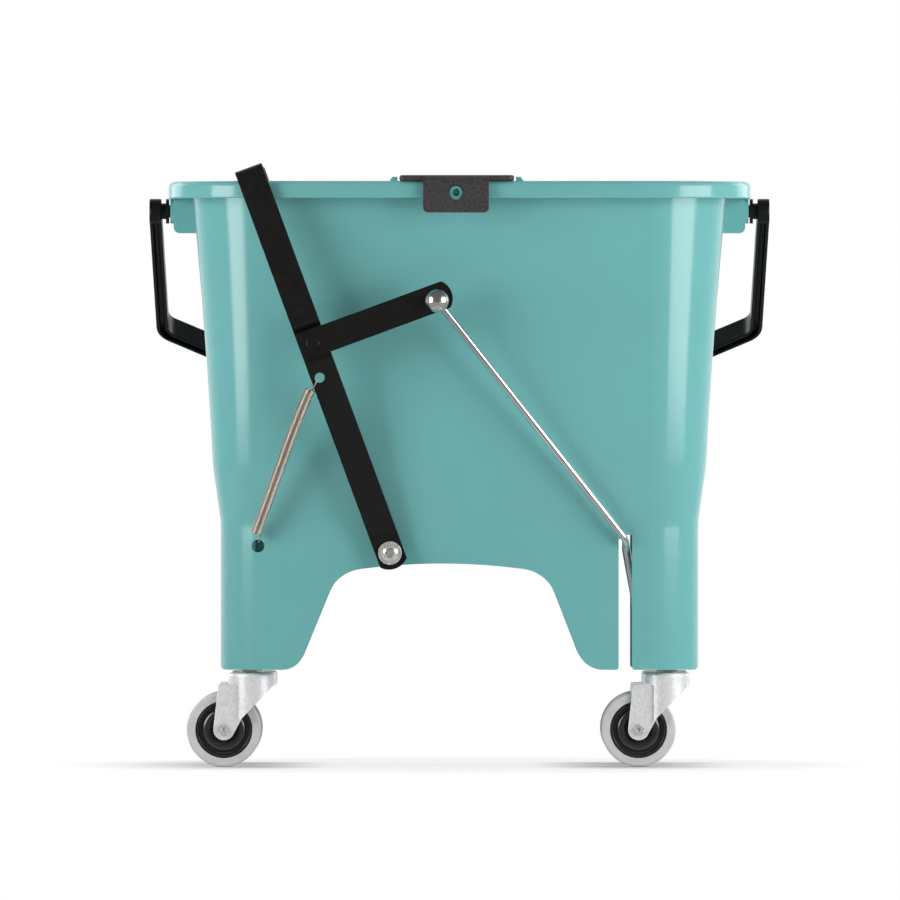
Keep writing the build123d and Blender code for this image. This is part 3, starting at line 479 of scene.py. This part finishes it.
def studio_floor():
    """Pale floor that keeps the shadow near the bucket and runs out into white."""
    deselect_all()
    bpy.ops.mesh.primitive_circle_add(vertices=floor_sides, radius=floor_radius, fill_type="NGON")
    floor = bpy.context.object
    floor.name = "studio_floor"
    material, tree, shader = new_finish("studio_white", floor_grey, floor_roughness)
    place = tree.nodes.new("ShaderNodeTexCoord")
    centred = tree.nodes.new("ShaderNodeMapping")
    centred.inputs["Location"].default_value = (caster_trail, 0, 0)
    centred.inputs["Scale"].default_value = (1, shadow_depth, 1)
    tree.links.new(place.outputs["Object"], centred.inputs["Vector"])
    quarter = tree.nodes.new("ShaderNodeVectorMath")
    quarter.operation = "ABSOLUTE"
    tree.links.new(centred.outputs["Vector"], quarter.inputs[0])
    wheel = tree.nodes.new("ShaderNodeVectorMath")
    wheel.operation = "DISTANCE"
    wheel.inputs[1].default_value = (caster_x, caster_y * shadow_depth, 0)
    tree.links.new(quarter.outputs["Vector"], wheel.inputs[0])
    spread = tree.nodes.new("ShaderNodeMapping")
    spread.inputs["Scale"].default_value = (1, floor_fade_depth, 1)
    tree.links.new(place.outputs["Object"], spread.inputs["Vector"])
    reach = tree.nodes.new("ShaderNodeVectorMath")
    reach.operation = "LENGTH"
    tree.links.new(spread.outputs["Vector"], reach.inputs[0])
    from_wheel = wheel.outputs["Value"]
    from_middle = reach.outputs["Value"]
    by_wheel = ramp_value(tree, from_wheel, shadow_near, shadow_far, floor_white_near, floor_white_far)
    run_out = ramp_value(tree, from_middle, floor_fade_near, floor_fade_far, 0.0, 1.0)
    white = maths(tree, "MAXIMUM", by_wheel, run_out)
    path = tree.nodes.new("ShaderNodeLightPath")
    seen = maths(tree, "MAXIMUM", path.outputs["Is Camera Ray"], path.outputs["Is Glossy Ray"])
    share = maths(tree, "MULTIPLY", seen, white)
    glow = tree.nodes.new("ShaderNodeEmission")
    strength = maths(tree, "MAXIMUM", path.outputs["Is Camera Ray"], floor_mirrored)
    tree.links.new(strength, glow.inputs["Strength"])
    mix = tree.nodes.new("ShaderNodeMixShader")
    tree.links.new(share, mix.inputs["Fac"])
    tree.links.new(shader.outputs["BSDF"], mix.inputs[1])
    tree.links.new(glow.outputs["Emission"], mix.inputs[2])
    tree.links.new(mix.outputs["Shader"], tree.nodes["Material Output"].inputs["Surface"])
    floor.data.materials.append(material)


def studio_world():
    """White background, which also lights the bucket from behind; the room in front is dim."""
    world = bpy.data.worlds.new("studio_world")
    bpy.context.scene.world = world
    world.use_nodes = True
    tree = world.node_tree
    background = tree.nodes["Background"]
    background.inputs["Color"].default_value = (1, 1, 1, 1)
    place = tree.nodes.new("ShaderNodeTexCoord")
    way = tree.nodes.new("ShaderNodeSeparateXYZ")
    tree.links.new(place.outputs["Generated"], way.inputs["Vector"])
    away = way.outputs["Y"]
    around = ramp_value(tree, away, backdrop_low, backdrop_high, room_light, backdrop_light)
    behind = ramp_value(tree, away, backdrop_low, backdrop_high, 0.0, 1.0)
    path = tree.nodes.new("ShaderNodeLightPath")
    direct = maths(tree, "MAXIMUM", path.outputs["Is Camera Ray"], path.outputs["Is Transmission Ray"])
    mirrored = maths(tree, "MULTIPLY", path.outputs["Is Glossy Ray"], behind)
    seen = maths(tree, "MAXIMUM", direct, mirrored)
    strength = maths(tree, "MAXIMUM", seen, around)
    tree.links.new(strength, background.inputs["Strength"])


def softbox(name, azimuth, height, distance, width, tall, watts, mirrored=True):
    """Rectangular studio light aimed at the bucket; azimuth 0 is the camera's side."""
    lamp = bpy.data.lights.new(name, "AREA")
    lamp.shape = "RECTANGLE"
    lamp.size = width
    lamp.size_y = tall
    lamp.energy = watts
    holder = bpy.data.objects.new(name, lamp)
    bpy.context.scene.collection.objects.link(holder)
    turn = radians(azimuth)
    holder.location = (distance * sin(turn), -distance * cos(turn), height)
    aim = Vector((0, 0, light_aim)) - holder.location
    holder.rotation_euler = aim.to_track_quat("-Z", "Y").to_euler()
    holder.visible_camera = False
    holder.visible_glossy = mirrored


def studio_lights():
    """Near softboxes left and right of the camera, far ones behind, and one overhead."""
    near = {"height": 0.41, "distance": 0.92, "tall": 0.49}
    far = {"height": 0.9, "distance": 2.2, "width": 1.2, "tall": 1.2, "watts": 9}
    overhead = {"height": 2.3, "distance": 0.05, "width": 1.6, "tall": 1.2, "watts": 16}
    softbox("softbox_left", azimuth=-54, width=0.37, watts=4.7, **near)
    softbox("softbox_right", azimuth=54, width=0.54, watts=6.2, **near)
    softbox("softbox_back_left", azimuth=-130, **far)
    softbox("softbox_back_right", azimuth=130, **far)
    softbox("softbox_top", azimuth=0, mirrored=False, **overhead)


def photograph_camera():
    """Level camera square to the working side."""
    lens = bpy.data.cameras.new("camera")
    lens.sensor_width = sensor
    lens.lens = sensor * (camera_far - skirt_front) / view_width
    lens.clip_end = camera_reach
    camera = bpy.data.objects.new("camera", lens)
    bpy.context.scene.collection.objects.link(camera)
    camera.location = (camera_x, -camera_far, camera_z)
    camera.rotation_euler = (pi / 2, 0, 0)
    bpy.context.scene.camera = camera


studio_floor()
studio_world()
studio_lights()
photograph_camera()
bpy.context.scene.view_settings.view_transform = "Standard"
